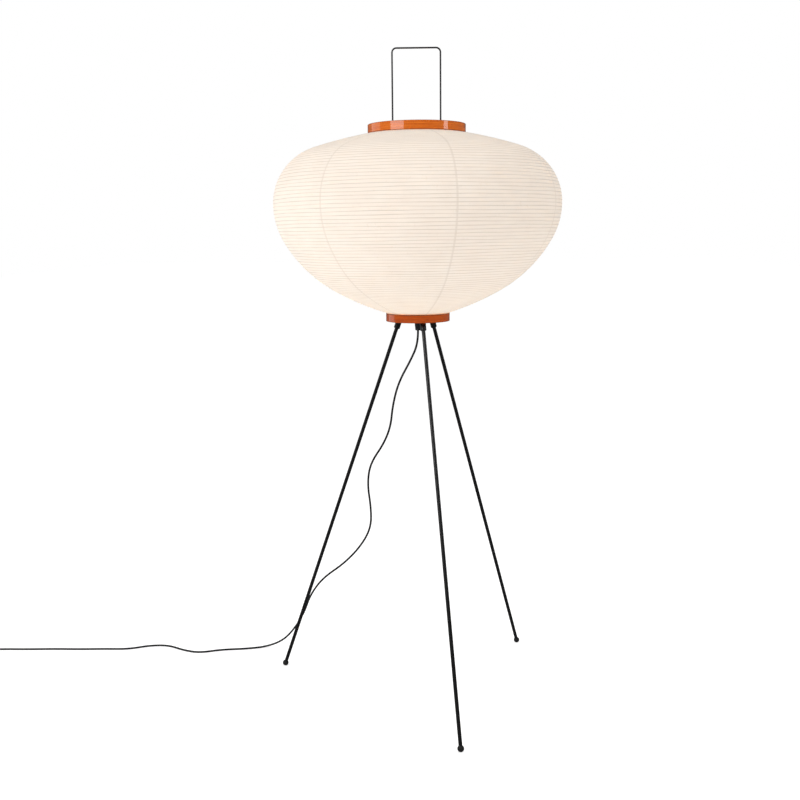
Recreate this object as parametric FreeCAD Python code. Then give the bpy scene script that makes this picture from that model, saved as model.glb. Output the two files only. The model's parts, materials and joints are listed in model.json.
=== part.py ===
import FreeCAD, Part
import math
import os
from FreeCAD import Vector

# Paper lantern floor lamp, in millimetres, +Z up. The origin is on the floor, on the lamp's axis.
# The lamp is seen from -Y, with +X to the right.

# Overall
overall_height = 1220.0
clearance = 0.3            # between curved faces that don't bear on each other
thread_clearance = 0.05    # around a part that is screwed or pressed home
ample = 200.0              # of cutting blocks, wider than what they trim
touching = 0.01            # faces and edges this close to a height are on it
up = Vector(0, 0, 1)
down = Vector(0, 0, -1)

# Tripod
foot_circle_radius = 292.0
leg_turn = 13.7            # degrees that the tripod is turned from facing -Y squarely
leg_radius = 3.5
leg_stud_radius = 2.5
leg_stud_length = 16.0
foot_ball_radius = 6.0
foot_flat_radius = 2.2
socket_circle_radius = 42.4
socket_drop = 22.0         # from the base plate down to a socket's mouth
socket_radius = 5.75
socket_chamfer = 0.8

# Hoops, the bent wood rings that end the shade
lower_hoop_radius = 60.0
lower_hoop_height = 15.0
lower_hoop_bottom = 723.0
upper_hoop_radius = 90.0
upper_hoop_height = 16.0
upper_hoop_top = 1083.0
hoop_thickness = 5.0
hoop_round = 0.8

# Base plate and what is fixed to it
plate_thickness = 3.0
plate_height_in_hoop = 7.0     # underside of the plate above the hoop's lower edge
plate_gap = 3.0                # between the plate's rim and the hoop
plate_edge_round = 0.6
hook_width = 10.0
hook_thickness = 1.5
hook_root_radius = 30.0
hook_gap = 0.5
hook_lip = 1.5
rivet_circle_radius = 42.0
rivet_radius = 1.5
rivet_head_radius = 3.2
rivet_head_height = 1.4

# Stretcher, the wire bow that holds the shade open and makes the handle
wire_radius = 1.5
stretcher_half_width = 44.0
stretcher_bend_radius = 8.0
sleeve_radius = 4.0
sleeve_height = 35.0

# Brackets that hold the upper hoop on the stretcher
eye_radius = 4.0
eye_height = 10.0
bracket_width = 10.0
bracket_thickness = 1.5
bracket_height = 12.0
bracket_arm_width = 7.0
bracket_screw_radius = 1.1
bracket_screw_head_radius = 2.2
bracket_screw_bite = 3.5

# Shade
shade_radius = 266.5
shade_widest_height = 940.0
shoulder_end = (0.4092, 0.7938)    # shares of the way in and up, from the widest point to the upper hoop
belly_end = (0.0827, 0.3285)       # shares of the way in and down, from the widest point to the lower hoop
flank_end = (0.5377, 0.7976)
rib_turns = 86
rib_radius = 0.9
rib_sides = 6              # of the split and shaved bamboo
paper_thickness = 0.6
paper_sag = 0.5            # how far the paper lies inside its ribs, midway between two
seam_margin = 6.0          # length of bare paper beyond each end of the rib

# Lampholder and bulb, for a 27 mm Edison screw
nipple_radius = 5.0
nipple_bore_radius = 3.5
nipple_length = 34.0
washer_radius = 8.0
washer_thickness = 0.8
nut_across_flats = 14.0
nut_height = 4.0
cap_radius = 19.0
cap_height = 23.0
cap_wall = 2.0
cap_neck_radius = 9.0
cap_neck_height = 5.0
cap_neck_wall = 1.0
insert_disc = 2.0
insert_depth = 6.0
holder_wall = 1.4
holder_skirt = 8.0
holder_shoulder_foot = 1.0     # above the insert
holder_shoulder_head = 5.0
holder_rim_wall = 2.5
holder_sleeve_height = 34.0
holder_bore_radius = 15.0
shell_radius = 13.3
shell_wall = 0.5
shell_height = 26.0
contact_rise = 5.4
contact_thickness = 0.6
contact_width = 6.0
contact_heel = 10.0        # from the axis to its fixed end
contact_foot = 6.0         # flat length that bears on the insert
contact_tip = 2.0          # beyond the axis
terminal_offset = 9.0
terminal_radius = 1.5
terminal_head_radius = 2.8
terminal_head_height = 3.0
bulb_length = 108.6
bulb_radius = 30.0
bulb_neck_radius = 13.4
bulb_glass_wall = 1.0
bulb_thread_radius = 13.0
bulb_thread_depth = 0.8
bulb_thread_pitch = 3.63
bulb_thread_turns = 5
bulb_cap_wall = 0.4        # under the thread's root
bulb_cap_floor = 1.0
bulb_insulator_height = 4.0
bulb_insulator_step = 1.0  # round the contact
bulb_contact_radius = 3.5
bulb_contact_height = 2.0
stem_radius = 3.5
stem_height = 29.0
stem_flare = 1.2           # thickness of its foot
filament_radius = 0.9
filament_rise = 34.0
filament_trim = 2.0        # below the stem's top, to clear it
filament_count = 4

# Cord and what is on it
cord_radius = 2.0
gland_length = 20.2
gland_top_radius = 7.0
gland_end_radius = 5.0
gland_seat = 9.0           # from its lower end to the nipple's
conductor_radius = 0.8
switch_length = 60.0
switch_width = 34.0
switch_height = 19.0
switch_wall = 2.0
switch_corner = 8.0
switch_post_radius = 2.6
switch_post_inset = 6.0    # from the inside of the wall at the ends
switch_post_side = 11.0    # from the middle, on one side
switch_screw_radius = 1.2
switch_screw_length = 10.0
switch_screw_head_radius = 2.0
switch_screw_head_height = 1.2
switch_recess = 1.6
switch_contact_size = Vector(6, 5, 3)
switch_contact_offset = Vector(12, -8, 0)
switch_tail_inside = 3.0   # length of cord beyond the inside of the wall
switch_entry_height = 6.0
switch_relief_length = 20.0
relief_root_radius = 4.4
relief_end_radius = 3.2
relief_spigot = 2.5
relief_spigot_radius = 3.4
button_radius = 10.0
button_rise = 4.0
button_edge_round = 1.2
button_flange = 2.5
button_flange_height = 2.0
spring_radius = 4.0
spring_wire_radius = 0.4
spring_turns = 5
spring_end_gap = 0.1
boss_radius = 2.5
boss_height = 6.0
coil_mid_radius = 24.2
coil_turns = 6.5
coil_step = 4.5
tail_length = 31.0         # of cord between the switch and the coil
tail_level = 9.0           # of it, before it dips
tail_flat = 10.0           # of it, after the dip
tie_thickness = 0.6
tie_width = 7.0
plug_lead = 20.0           # straight length of cord between the coil and the plug
plug_width = 35.3
plug_height = 13.7
plug_length = 28.0
plug_taper_length = 9.0
plug_taper_width = 6.0
plug_round = 2.0
plug_relief_length = 32.0
plug_relief_root_radius = 5.6
pin_radius = 2.0
pin_length = 19.0
pin_root = 6.0
pin_tip_round = 0.8
pin_half_spacing = 9.3
pin_sleeve_length = 10.0
pin_waist_radius = 1.4
pin_sleeve_radius = 1.8

# Heights and radii that follow from the sizes above
upper_hoop_bottom = upper_hoop_top - upper_hoop_height
lower_hoop_top = lower_hoop_bottom + lower_hoop_height
upper_hoop_bore = upper_hoop_radius - hoop_thickness
lower_hoop_bore = lower_hoop_radius - hoop_thickness
plate_bottom = lower_hoop_bottom + plate_height_in_hoop
plate_top = plate_bottom + plate_thickness
socket_mouth_height = plate_bottom - socket_drop
plate_radius = lower_hoop_bore - plate_gap
foot_centre_height = math.sqrt(foot_ball_radius**2 - foot_flat_radius**2)
leg_azimuths = {"left": leg_turn + 150, "front": leg_turn - 90, "right": leg_turn + 30}
hook_azimuths = {name: azimuth - 60 for name, azimuth in leg_azimuths.items()}
side_signs = {"left": -1, "right": 1}
eye_bottom = upper_hoop_bottom + (upper_hoop_height - eye_height) / 2
eye_bore = wire_radius + clearance

os.makedirs("parts", exist_ok=True)


# Small helpers

def polar(radius, azimuth, height):
    angle = math.radians(azimuth)
    return Vector(radius * math.cos(angle), radius * math.sin(angle), height)


def rod(radius, length, base, direction=up):
    return Part.makeCylinder(radius, length, base, direction)


def tube(radius, bore, length, base, direction=up):
    return rod(radius, length, base, direction).cut(rod(bore, length, base, direction))


def turned(outline):
    """A closed outline of (radius, height) points, turned about the lamp's axis."""
    points = [Vector(radius, 0, height) for radius, height in outline]
    face = Part.Face(Part.makePolygon(points + points[:1]))
    return face.revolve(Vector(0, 0, 0), up, 360)


def hexagon(across_flats, height, base):
    corners = [base + polar(across_flats / 2 / math.cos(math.pi / 6), 60 * k, 0) for k in range(7)]
    return Part.Face(Part.makePolygon(corners)).extrude(Vector(0, 0, height))


def slab(outline, thickness, azimuth=0.0):
    """A closed outline of (x, z) points, as thick as that along Y about Y = 0, turned about the axis."""
    points = [Vector(x, -thickness / 2, z) for x, z in outline]
    solid = Part.Face(Part.makePolygon(points + points[:1])).extrude(Vector(0, thickness, 0))
    solid.rotate(Vector(0, 0, 0), up, azimuth)
    return solid


def rounded_block(low, high, corner):
    """A block between two corners, its upright edges rounded."""
    block = Part.makeBox(high.x - low.x, high.y - low.y, high.z - low.z, low)
    upright = [e for e in block.Edges if abs(e.tangentAt(e.FirstParameter).z) > 0.99]
    return block.makeFillet(corner, upright)


def export(node, *solids):
    shape = solids[0] if len(solids) == 1 else Part.makeCompound(list(solids))
    shape.exportStep("parts/" + node + ".step")


# Paths of straight runs, arcs and biarcs, and tubes along them

def arc_between(start, end, corner):
    """The arc from start to end whose tangents meet at corner, halfway along both."""
    middle = (start + end) * 0.5
    half_turn = math.acos(min(1.0, (end - start).Length / 2 / (corner - start).Length))
    peak = middle + (corner - middle) * (math.tan(half_turn / 2) / math.tan(half_turn))
    return Part.Arc(start, peak, end).toShape()


def biarc(start, start_way, end, end_way):
    """Two arcs that meet smoothly, from start to end, leaving and arriving along those ways."""
    chord = end - start
    ways = start_way + end_way
    spread = 2 * (1 - start_way.dot(end_way))
    along = chord.dot(ways)
    reach = (math.sqrt(along * along + spread * chord.dot(chord)) - along) / spread
    joint = (start + end + (start_way - end_way) * reach) * 0.5
    first = arc_between(start, joint, start + start_way * reach)
    second = arc_between(joint, end, end - end_way * reach)
    return [first, second]


def bends(points, radii):
    """Straight runs from point to point, joined by an arc of the stated radius at each."""
    edges = []
    last = points[0]
    for k in range(1, len(points) - 1):
        incoming = (points[k] - points[k - 1]).normalize()
        outgoing = (points[k + 1] - points[k]).normalize()
        setback = radii[k - 1] * math.tan(incoming.getAngle(outgoing) / 2)
        start = points[k] - incoming * setback
        end = points[k] + outgoing * setback
        edges.append(Part.LineSegment(last, start).toShape())
        edges.append(arc_between(start, end, points[k]))
        last = end
    edges.append(Part.LineSegment(last, points[-1]).toShape())
    return edges


def widest_radii(points):
    """Each bend as wide as the shorter of its two runs allows."""
    radii = []
    for before, point, after in zip(points, points[1:], points[2:]):
        turn = (point - before).getAngle(after - point)
        shorter = min((point - before).Length, (after - point).Length)
        radii.append(0.45 * shorter / math.tan(turn / 2))
    return radii


def swept(edges, radius, name, sides=0):
    """A tube along the edges, round or with that many flat sides. It prints its volume against
    section times length."""
    wire = Part.Wire(edges)
    start = edges[0].Vertexes[0].Point
    way = edges[0].tangentAt(edges[0].FirstParameter)
    section = Part.Wire([Part.Circle(start, way, radius).toShape()])
    area = math.pi * radius**2
    if sides:
        section = Part.makePolygon(section.discretize(sides + 1))
        area = sides / 2 * radius**2 * math.sin(2 * math.pi / sides)
    shell = Part.BRepOffsetAPI.MakePipeShell(wire)
    shell.add(section)
    shell.build()
    shell.makeSolid()
    solid = shell.shape()
    share = solid.Volume / (area * wire.Length)
    print(f"{name}: {wire.Length:.0f} mm long, volume {share:.5f} of section x length")
    return solid


def least_gap(edges, radius, step):
    """The least gap that a tube leaves to itself, from points that far apart along its middle."""
    points = Part.Wire(edges).discretize(Distance=step)
    reach = 4 * radius
    skip = math.ceil(1.5 * reach / step)
    cells = {}
    for k, point in enumerate(points):
        cell = tuple(math.floor(c / reach) for c in point)
        cells.setdefault(cell, []).append(k)
    neighbours = [(a, b, c) for a in (-1, 0, 1) for b in (-1, 0, 1) for c in (-1, 0, 1)]
    least = reach
    for (i, j, n), here in cells.items():
        near = [m for a, b, c in neighbours for m in cells.get((i + a, j + b, n + c), [])]
        for k in here:
            for m in near:
                if m > k + skip:
                    least = min(least, (points[k] - points[m]).Length)
    return least - 2 * radius


# Tripod

for side, azimuth in leg_azimuths.items():
    foot_centre = polar(foot_circle_radius, azimuth, foot_centre_height)
    socket_mouth = polar(socket_circle_radius, azimuth, socket_mouth_height)
    leg_way = (socket_mouth - foot_centre).normalize()
    leg_length = (socket_mouth - foot_centre).Length

    leg = rod(leg_radius, leg_length, foot_centre, leg_way)
    leg = leg.fuse(rod(leg_stud_radius, leg_stud_length, socket_mouth, leg_way)).removeSplitter()
    export("leg_" + side, leg)

    ball = Part.makeSphere(foot_ball_radius, foot_centre)
    ball = ball.cut(rod(leg_radius + thread_clearance, 2 * foot_ball_radius, foot_centre, leg_way))
    below_floor = Part.makeBox(2 * ample, 2 * ample, ample,
                              foot_centre - Vector(ample, ample, ample + foot_centre_height))
    export("foot_ball_" + side, ball.cut(below_floor))

    socket_length = 2 * socket_drop
    mouth_cone = Part.makeCone(socket_radius - socket_chamfer, socket_radius, socket_chamfer,
                               socket_mouth, leg_way)
    body = rod(socket_radius, socket_length, socket_mouth + leg_way * socket_chamfer, leg_way)
    bore = rod(leg_stud_radius + thread_clearance, leg_stud_length, socket_mouth, leg_way)
    above_plate = Part.makeBox(ample, ample, ample, Vector(-ample / 2, -ample / 2, plate_bottom))
    export("leg_socket_" + side, mouth_cone.fuse(body).cut(bore).cut(above_plate).removeSplitter())


# Base plate, hooks and rivets

plate = rod(plate_radius, plate_thickness, Vector(0, 0, plate_bottom))
plate = plate.makeFillet(plate_edge_round, [e for e in plate.Edges if e.Closed])
plate = plate.cut(rod(nipple_radius + clearance, plate_thickness, Vector(0, 0, plate_bottom)))

hook_outer = lower_hoop_bore - hook_gap
hook_outline = [
    (hook_root_radius, plate_top),
    (hook_outer, plate_top),
    (hook_outer, lower_hoop_top),
    (lower_hoop_bore + hook_lip, lower_hoop_top),
    (lower_hoop_bore + hook_lip, lower_hoop_top + hook_thickness),
    (hook_outer - hook_thickness, lower_hoop_top + hook_thickness),
    (hook_outer - hook_thickness, plate_top + hook_thickness),
    (hook_root_radius, plate_top + hook_thickness),
]
rivets = []
rivet_length = plate_thickness + hook_thickness
for side, azimuth in hook_azimuths.items():
    foot = polar(rivet_circle_radius, azimuth, plate_bottom)
    hole = rod(rivet_radius + thread_clearance, rivet_length, foot)
    plate = plate.cut(hole)
    export("ring_hook_" + side, slab(hook_outline, hook_width, azimuth).cut(hole))
    upper_head = Part.makeCone(rivet_head_radius, rivet_radius, rivet_head_height,
                               foot + up * rivet_length)
    lower_head = Part.makeCone(rivet_head_radius, rivet_radius, rivet_head_height, foot, down)
    rivets.append(rod(rivet_radius, rivet_length, foot).fuse(upper_head).fuse(lower_head))
export("hook_rivets", *rivets)
export("base_plate", plate)


# Hoops

def hoop(radius, bottom, height):
    ring = tube(radius, radius - hoop_thickness, height, Vector(0, 0, bottom))
    return ring.makeFillet(hoop_round, [e for e in ring.Edges if len(e.Vertexes) == 1])


export("lower_ring", hoop(lower_hoop_radius, lower_hoop_bottom, lower_hoop_height))
upper_hoop = hoop(upper_hoop_radius, upper_hoop_bottom, upper_hoop_height)


# Stretcher and the sleeves that it stands in

bow_top = overall_height - wire_radius
bow_corners = [
    Vector(-stretcher_half_width, 0, plate_top),
    Vector(-stretcher_half_width, 0, bow_top),
    Vector(stretcher_half_width, 0, bow_top),
    Vector(stretcher_half_width, 0, plate_top),
]
export("stretcher", swept(bends(bow_corners, [stretcher_bend_radius] * 2), wire_radius, "stretcher"))
for side, sign in side_signs.items():
    sleeve_foot = Vector(sign * stretcher_half_width, 0, plate_top)
    sleeve = tube(sleeve_radius, wire_radius + clearance, sleeve_height, sleeve_foot)
    export("stretcher_sleeve_" + side, sleeve)


# Brackets between the upper hoop and the stretcher

flange_outer = math.sqrt(upper_hoop_bore**2 - (bracket_width / 2)**2) - clearance
flange_inner = flange_outer - bracket_thickness
flange_bottom = upper_hoop_bottom + (upper_hoop_height - bracket_height) / 2
arm_bottom = flange_bottom + bracket_height / 3
screw_height = (arm_bottom + bracket_thickness + flange_bottom + bracket_height) / 2
bracket_screws = []
for side, sign in side_signs.items():
    eye_foot = Vector(sign * stretcher_half_width, 0, eye_bottom)
    eye_ring = rod(eye_radius, eye_height, eye_foot)
    flange = slab([
        (sign * flange_inner, flange_bottom),
        (sign * flange_outer, flange_bottom),
        (sign * flange_outer, flange_bottom + bracket_height),
        (sign * flange_inner, flange_bottom + bracket_height),
    ], bracket_width)
    arm = slab([
        (sign * stretcher_half_width, arm_bottom),
        (sign * flange_outer, arm_bottom),
        (sign * flange_outer, arm_bottom + bracket_thickness),
        (sign * stretcher_half_width, arm_bottom + bracket_thickness),
    ], bracket_arm_width)
    outward = Vector(sign, 0, 0)
    screw_seat = Vector(sign * flange_inner, 0, screw_height)
    shank_length = upper_hoop_bore - flange_inner + bracket_screw_bite
    shank = rod(bracket_screw_radius, shank_length, screw_seat, outward)
    shank_hole = rod(bracket_screw_radius + thread_clearance, shank_length, screw_seat, outward)
    bracket = eye_ring.fuse(flange).fuse(arm).removeSplitter()
    bracket = bracket.cut(rod(eye_bore, eye_height, eye_foot)).cut(shank_hole)
    export("ring_bracket_" + side, bracket)
    head = Part.makeSphere(bracket_screw_head_radius, screw_seat, outward * -1, 0, 90)
    bracket_screws.append(shank.fuse(head))
    upper_hoop = upper_hoop.cut(shank_hole)
export("bracket_screws", *bracket_screws)
export("upper_ring", upper_hoop)


# Shade. Its outline is a chain of arcs from the lower hoop to the upper one. Each arc is its centre
# (radius, height), its radius, and the angles of its outward normal where it starts and ends.

def arcs_through(start, stops):
    """Arcs that run smoothly on from start, where the outline is upright, through each stop."""
    arcs = []
    angle = 0.0
    for stop in stops:
        way = (math.cos(angle), math.sin(angle))
        chord = (stop[0] - start[0], stop[1] - start[1])
        radius = -(chord[0]**2 + chord[1]**2) / (2 * (chord[0] * way[0] + chord[1] * way[1]))
        centre = (start[0] - radius * way[0], start[1] - radius * way[1])
        end = math.atan2((stop[1] - centre[1]) / radius, (stop[0] - centre[0]) / radius)
        arcs.append((centre, radius, angle, end))
        start = stop
        angle = end
    return arcs


def between(first, last, shares):
    return tuple(a + share * (b - a) for a, b, share in zip(first, last, shares))


def reversed_arc(arc):
    centre, radius, start, end = arc
    return centre, radius, end, start


def on_arc(arc, angle, depth):
    (centre_x, centre_z), radius, _, _ = arc
    inner = radius - depth
    return Vector(centre_x + inner * math.cos(angle), 0, centre_z + inner * math.sin(angle))


def arc_length(arc):
    return abs(arc[1] * (arc[3] - arc[2]))


lower_seat = (lower_hoop_radius - hoop_thickness / 2, lower_hoop_top)
upper_seat = (upper_hoop_radius - hoop_thickness / 2, upper_hoop_bottom)
widest = (shade_radius, shade_widest_height)
upper_arcs = arcs_through(widest, [between(widest, upper_seat, shoulder_end), upper_seat])
lower_stops = [between(widest, lower_seat, share) for share in (belly_end, flank_end)]
lower_arcs = arcs_through(widest, lower_stops + [lower_seat])
outline = [reversed_arc(arc) for arc in reversed(lower_arcs)] + upper_arcs
outline_length = sum(arc_length(arc) for arc in outline)
rib_pitch = outline_length / rib_turns
paper_depth = paper_sag + paper_thickness
rib_depth = paper_depth + clearance + rib_radius


def outline_point(distance, depth):
    """The point that far along the shade's outline, from the lower hoop, and that far inside it."""
    for arc in outline:
        length = arc_length(arc)
        if distance <= length or arc is outline[-1]:
            break
        distance -= length
    share = min(distance / length, 1.0)
    return on_arc(arc, arc[2] + share * (arc[3] - arc[2]), depth)


def shade_skin():
    """The paper. It stands out at each turn of the rib and lies flat, a little deeper, between two."""
    outer = []
    for k in range(rib_turns):
        outer.append(outline_point(k * rib_pitch, 0))
        outer.append(outline_point((k + 1 / 3) * rib_pitch, paper_sag))
        outer.append(outline_point((k + 2 / 3) * rib_pitch, paper_sag))
    outer.append(outline_point(outline_length, 0))
    inner = [outline_point(k * rib_pitch, paper_depth) for k in range(rib_turns + 1)]
    return turned([(point.x, point.z) for point in outer + inner[::-1]])


def rib_point(turn):
    flat = outline_point(turn * rib_pitch, rib_depth)
    return polar(flat.x, 360 * turn, flat.z)


def way_of(point_at, turn, step=0.001):
    return (point_at(turn + step) - point_at(turn - step)).normalize()


def wound(point_at, first, last, steps_per_turn):
    """Biarcs along a winding, from its first turn to its last."""
    count = round((last - first) * steps_per_turn)
    turns = [first + (last - first) * k / count for k in range(count + 1)]
    edges = []
    for a, b in zip(turns, turns[1:]):
        edges += biarc(point_at(a), way_of(point_at, a), point_at(b), way_of(point_at, b))
    return edges


export("shade_paper", shade_skin())
rib_margin = math.ceil(seam_margin / rib_pitch)
rib_edges = wound(rib_point, rib_margin, rib_turns - rib_margin, 2)
export("shade_ribs", swept(rib_edges, rib_radius, "rib", rib_sides))
print(f"rib: least gap to itself, at most {2 * rib_radius:.1f}: {least_gap(rib_edges, rib_radius, 3):.2f} mm")


# Lampholder, on a threaded nipple through the base plate

washer_top = plate_top + washer_thickness
cap_bottom = washer_top + nut_height
cap_top = cap_bottom + cap_height
insert_top = cap_top + insert_disc
gland_top = plate_bottom - washer_thickness - nut_height
gland_bottom = gland_top - gland_length
nipple_bottom = gland_bottom + gland_seat
cap_bore = cap_radius - cap_wall

nipple_foot = Vector(0, 0, nipple_bottom)
export("nipple", tube(nipple_radius, nipple_bore_radius, nipple_length, nipple_foot))
washers = []
nuts = []
for washer_foot, nut_foot in ((plate_top, washer_top), (plate_bottom - washer_thickness, gland_top)):
    around_nipple = rod(nipple_radius + thread_clearance, nut_height, Vector(0, 0, nut_foot))
    washers.append(tube(washer_radius, nipple_radius + clearance, washer_thickness,
                        Vector(0, 0, washer_foot)))
    nuts.append(hexagon(nut_across_flats, nut_height, Vector(0, 0, nut_foot)).cut(around_nipple))
export("nipple_washers", *washers)
export("nipple_nuts", *nuts)

neck_top = cap_bottom + cap_neck_height
cap_flare = cap_radius - cap_neck_radius
export("holder_cap", turned([
    (nipple_radius + thread_clearance, cap_bottom),
    (cap_neck_radius, cap_bottom),
    (cap_neck_radius, neck_top),
    (cap_radius, neck_top + cap_flare),
    (cap_radius, cap_top),
    (cap_bore, cap_top),
    (cap_bore, neck_top + cap_flare + cap_neck_wall),
    (cap_neck_radius - cap_neck_wall, neck_top + cap_wall),
    (nipple_radius + thread_clearance, neck_top + cap_wall),
]))

insert = rod(cap_radius - clearance, insert_disc, Vector(0, 0, cap_top))
insert = insert.fuse(rod(cap_bore - clearance, insert_depth, Vector(0, 0, cap_top - insert_depth)))
terminal_screws = []
conductors = []
insert_bottom = cap_top - insert_depth
head_bottom = insert_bottom - terminal_head_height
lead_top = nipple_bottom + nipple_length + 1
for sign in side_signs.values():
    seat = Vector(sign * terminal_offset, 0, insert_bottom)
    insert = insert.cut(rod(terminal_radius + thread_clearance, insert_depth + insert_disc, seat))
    screw = rod(terminal_radius, insert_depth, seat)
    screw = screw.fuse(rod(terminal_head_radius, terminal_head_height, seat, down))
    terminal_screws.append(screw)
    wire_start = Vector(sign * 1.2 * conductor_radius, 0, lead_top + conductor_radius)
    wire_reach = terminal_offset - terminal_head_radius - conductor_radius
    wire_end = Vector(sign * wire_reach, 0, head_bottom + terminal_head_height / 2)
    conductors.append(rod(conductor_radius, (wire_end - wire_start).Length, wire_start,
                          wire_end - wire_start))
export("holder_insert", insert.removeSplitter())
export("terminal_screws", *terminal_screws)
export("conductors", *conductors)

sleeve_bore = cap_radius + clearance
sleeve_outer = sleeve_bore + holder_wall
holder_top = insert_top + holder_sleeve_height
export("holder_sleeve", turned([
    (sleeve_bore, cap_top - holder_skirt),
    (sleeve_outer, cap_top - holder_skirt),
    (sleeve_outer, insert_top + holder_shoulder_foot),
    (holder_bore_radius + holder_rim_wall, insert_top + holder_shoulder_head),
    (holder_bore_radius + holder_rim_wall, holder_top),
    (holder_bore_radius, holder_top),
    (holder_bore_radius, insert_top),
    (sleeve_bore, insert_top),
]))
export("screw_shell", tube(shell_radius + shell_wall, shell_radius, shell_height,
                           Vector(0, 0, insert_top)))
contact_top = insert_top + contact_rise
leaf_bend = contact_heel - contact_foot
export("centre_contact", slab([
    (-contact_heel, insert_top),
    (-leaf_bend, insert_top),
    (0, contact_top - contact_thickness),
    (contact_tip, contact_top - contact_thickness),
    (contact_tip, contact_top),
    (-contact_thickness / 2, contact_top),
    (-leaf_bend - contact_thickness / 2, insert_top + contact_thickness),
    (-contact_heel, insert_top + contact_thickness),
], contact_width))


# Bulb

def bulb():
    insulator_bottom = contact_top + bulb_contact_height
    cap_foot = insulator_bottom + bulb_insulator_height
    thread_root = bulb_thread_radius - bulb_thread_depth
    cap_rim = cap_foot + (bulb_thread_turns + 1) * bulb_thread_pitch
    export("bulb_contact", rod(bulb_contact_radius, bulb_contact_height, Vector(0, 0, contact_top)))
    export("bulb_insulator", turned([
        (0, insulator_bottom),
        (bulb_contact_radius + bulb_insulator_step, insulator_bottom),
        (thread_root - bulb_cap_wall, cap_foot),
        (0, cap_foot),
    ]))

    wall = [(0, cap_foot), (thread_root, cap_foot)]
    for turn in range(bulb_thread_turns):
        height = cap_foot + (turn + 0.5) * bulb_thread_pitch
        wall.append((thread_root, height))
        wall.append((bulb_thread_radius, height + bulb_thread_pitch / 3))
        wall.append((thread_root, height + 2 * bulb_thread_pitch / 3))
    wall.append((bulb_thread_radius, cap_rim))
    wall.append((thread_root - bulb_cap_wall, cap_rim))
    wall.append((thread_root - bulb_cap_wall, cap_foot + bulb_cap_floor))
    wall.append((0, cap_foot + bulb_cap_floor))
    export("bulb_cap", turned(wall))

    centre_height = contact_top + bulb_length - bulb_radius

    def glass_outline(radius, neck):
        """A straight neck that runs into a ball, as far as the ball's top."""
        distance = math.hypot(neck, centre_height - cap_rim)
        angle = math.atan2(cap_rim - centre_height, neck) + math.acos(radius / distance)
        points = [Vector(radius * math.cos(a), 0, centre_height + radius * math.sin(a))
                  for a in (angle, (angle + math.pi / 2) / 2, math.pi / 2)]
        return Vector(neck, 0, cap_rim), points

    outer_foot, outer = glass_outline(bulb_radius, bulb_neck_radius)
    inner_foot, inner = glass_outline(bulb_radius - bulb_glass_wall, bulb_neck_radius - bulb_glass_wall)
    edges = [
        Part.LineSegment(inner_foot, outer_foot).toShape(),
        Part.LineSegment(outer_foot, outer[0]).toShape(),
        Part.Arc(*outer).toShape(),
        Part.LineSegment(outer[-1], inner[-1]).toShape(),
        Part.Arc(*reversed(inner)).toShape(),
        Part.LineSegment(inner[0], inner_foot).toShape(),
    ]
    export("bulb_glass", Part.Face(Part.Wire(edges)).revolve(Vector(0, 0, 0), up, 360))

    stem_top = cap_rim + stem_height
    stem = rod(bulb_neck_radius - bulb_glass_wall - clearance, stem_flare, Vector(0, 0, cap_rim))
    stem = stem.fuse(rod(stem_radius, stem_height, Vector(0, 0, cap_rim))).removeSplitter()
    export("bulb_stem", stem)
    filaments = []
    for k in range(filament_count):
        azimuth = 360 * k / filament_count + 45
        foot = polar(stem_radius - filament_radius, azimuth, stem_top)
        top = polar(bulb_radius / 3, azimuth, stem_top + filament_rise)
        filaments.append(rod(filament_radius, (top - foot).Length, foot, top - foot))
    trim = rod(stem_radius, filament_trim, Vector(0, 0, stem_top - filament_trim))
    export("bulb_filament", *[filament.cut(trim) for filament in filaments])


bulb()


# Cord gland, a tapered strain relief on the lower end of the nipple, and the lead through the nipple

gland = Part.makeCone(gland_end_radius, gland_top_radius, gland_length, Vector(0, 0, gland_bottom))
gland = gland.cut(rod(cord_radius + clearance, gland_length, Vector(0, 0, gland_bottom)))
gland = gland.cut(rod(nipple_radius + thread_clearance, gland_length, nipple_foot))
export("cord_gland", gland)
export("supply_lead", rod(cord_radius, lead_top - gland_bottom, Vector(0, 0, gland_bottom)))


# Cord. It hangs from the gland in slack waves, lands behind the left leg and lies along the floor.

cord_route = [
    Vector(0, 0, 705),
    Vector(0, 0, 681),
    Vector(-13, 2, 650),
    Vector(-38, 5, 605),
    Vector(-50, 11, 558),
    Vector(-54, 15, 518),
    Vector(-68, 21, 482),
    Vector(-96, 29, 440),
    Vector(-102, 36, 396),
    Vector(-96, 45, 348),
    Vector(-97, 57, 302),
    Vector(-120, 73, 258),
    Vector(-156, 95, 215),
    Vector(-203, 118, 176),
    Vector(-232, 137, 132),
    Vector(-247, 151, 88),
    Vector(-270, 164, 48),
    Vector(-296, 174, 17),
    Vector(-333, 175, 2),
    Vector(-378, 163, 2),
    Vector(-428, 159, 2),
    Vector(-474, 142, 2),
    Vector(-512, 157, 2),
    Vector(-550, 184, 2),
    Vector(-592, 182, 2),
    Vector(-632, 163, 2),
    Vector(-684, 164.5, 2),
    Vector(-738, 163, 2),
    Vector(-794, 165, 2),
    Vector(-848, 163.5, 2),
    Vector(-900, 164.5, 2),
    Vector(-930, 163.5, 2),
    Vector(-946, 164, 4.5),
    Vector(-960, 164, 6),
    Vector(-975, 164, 6),
]
cord_radii = widest_radii(cord_route)
export("cord_run", swept(bends(cord_route, cord_radii), cord_radius, "cord run"))
print("cord run: radii", [round(radius) for radius in cord_radii])


# Inline switch, with a push button. Its length lies along X, from where the cord run ends.

inlet = cord_route[-1]
body_end = inlet.x - switch_relief_length
body_start = body_end - switch_length
outlet = Vector(body_start - switch_relief_length, inlet.y, inlet.z)
switch_middle = Vector((body_start + body_end) / 2, inlet.y, 0)
ceiling = switch_height - switch_wall
entry_radius = relief_spigot_radius + thread_clearance


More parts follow.
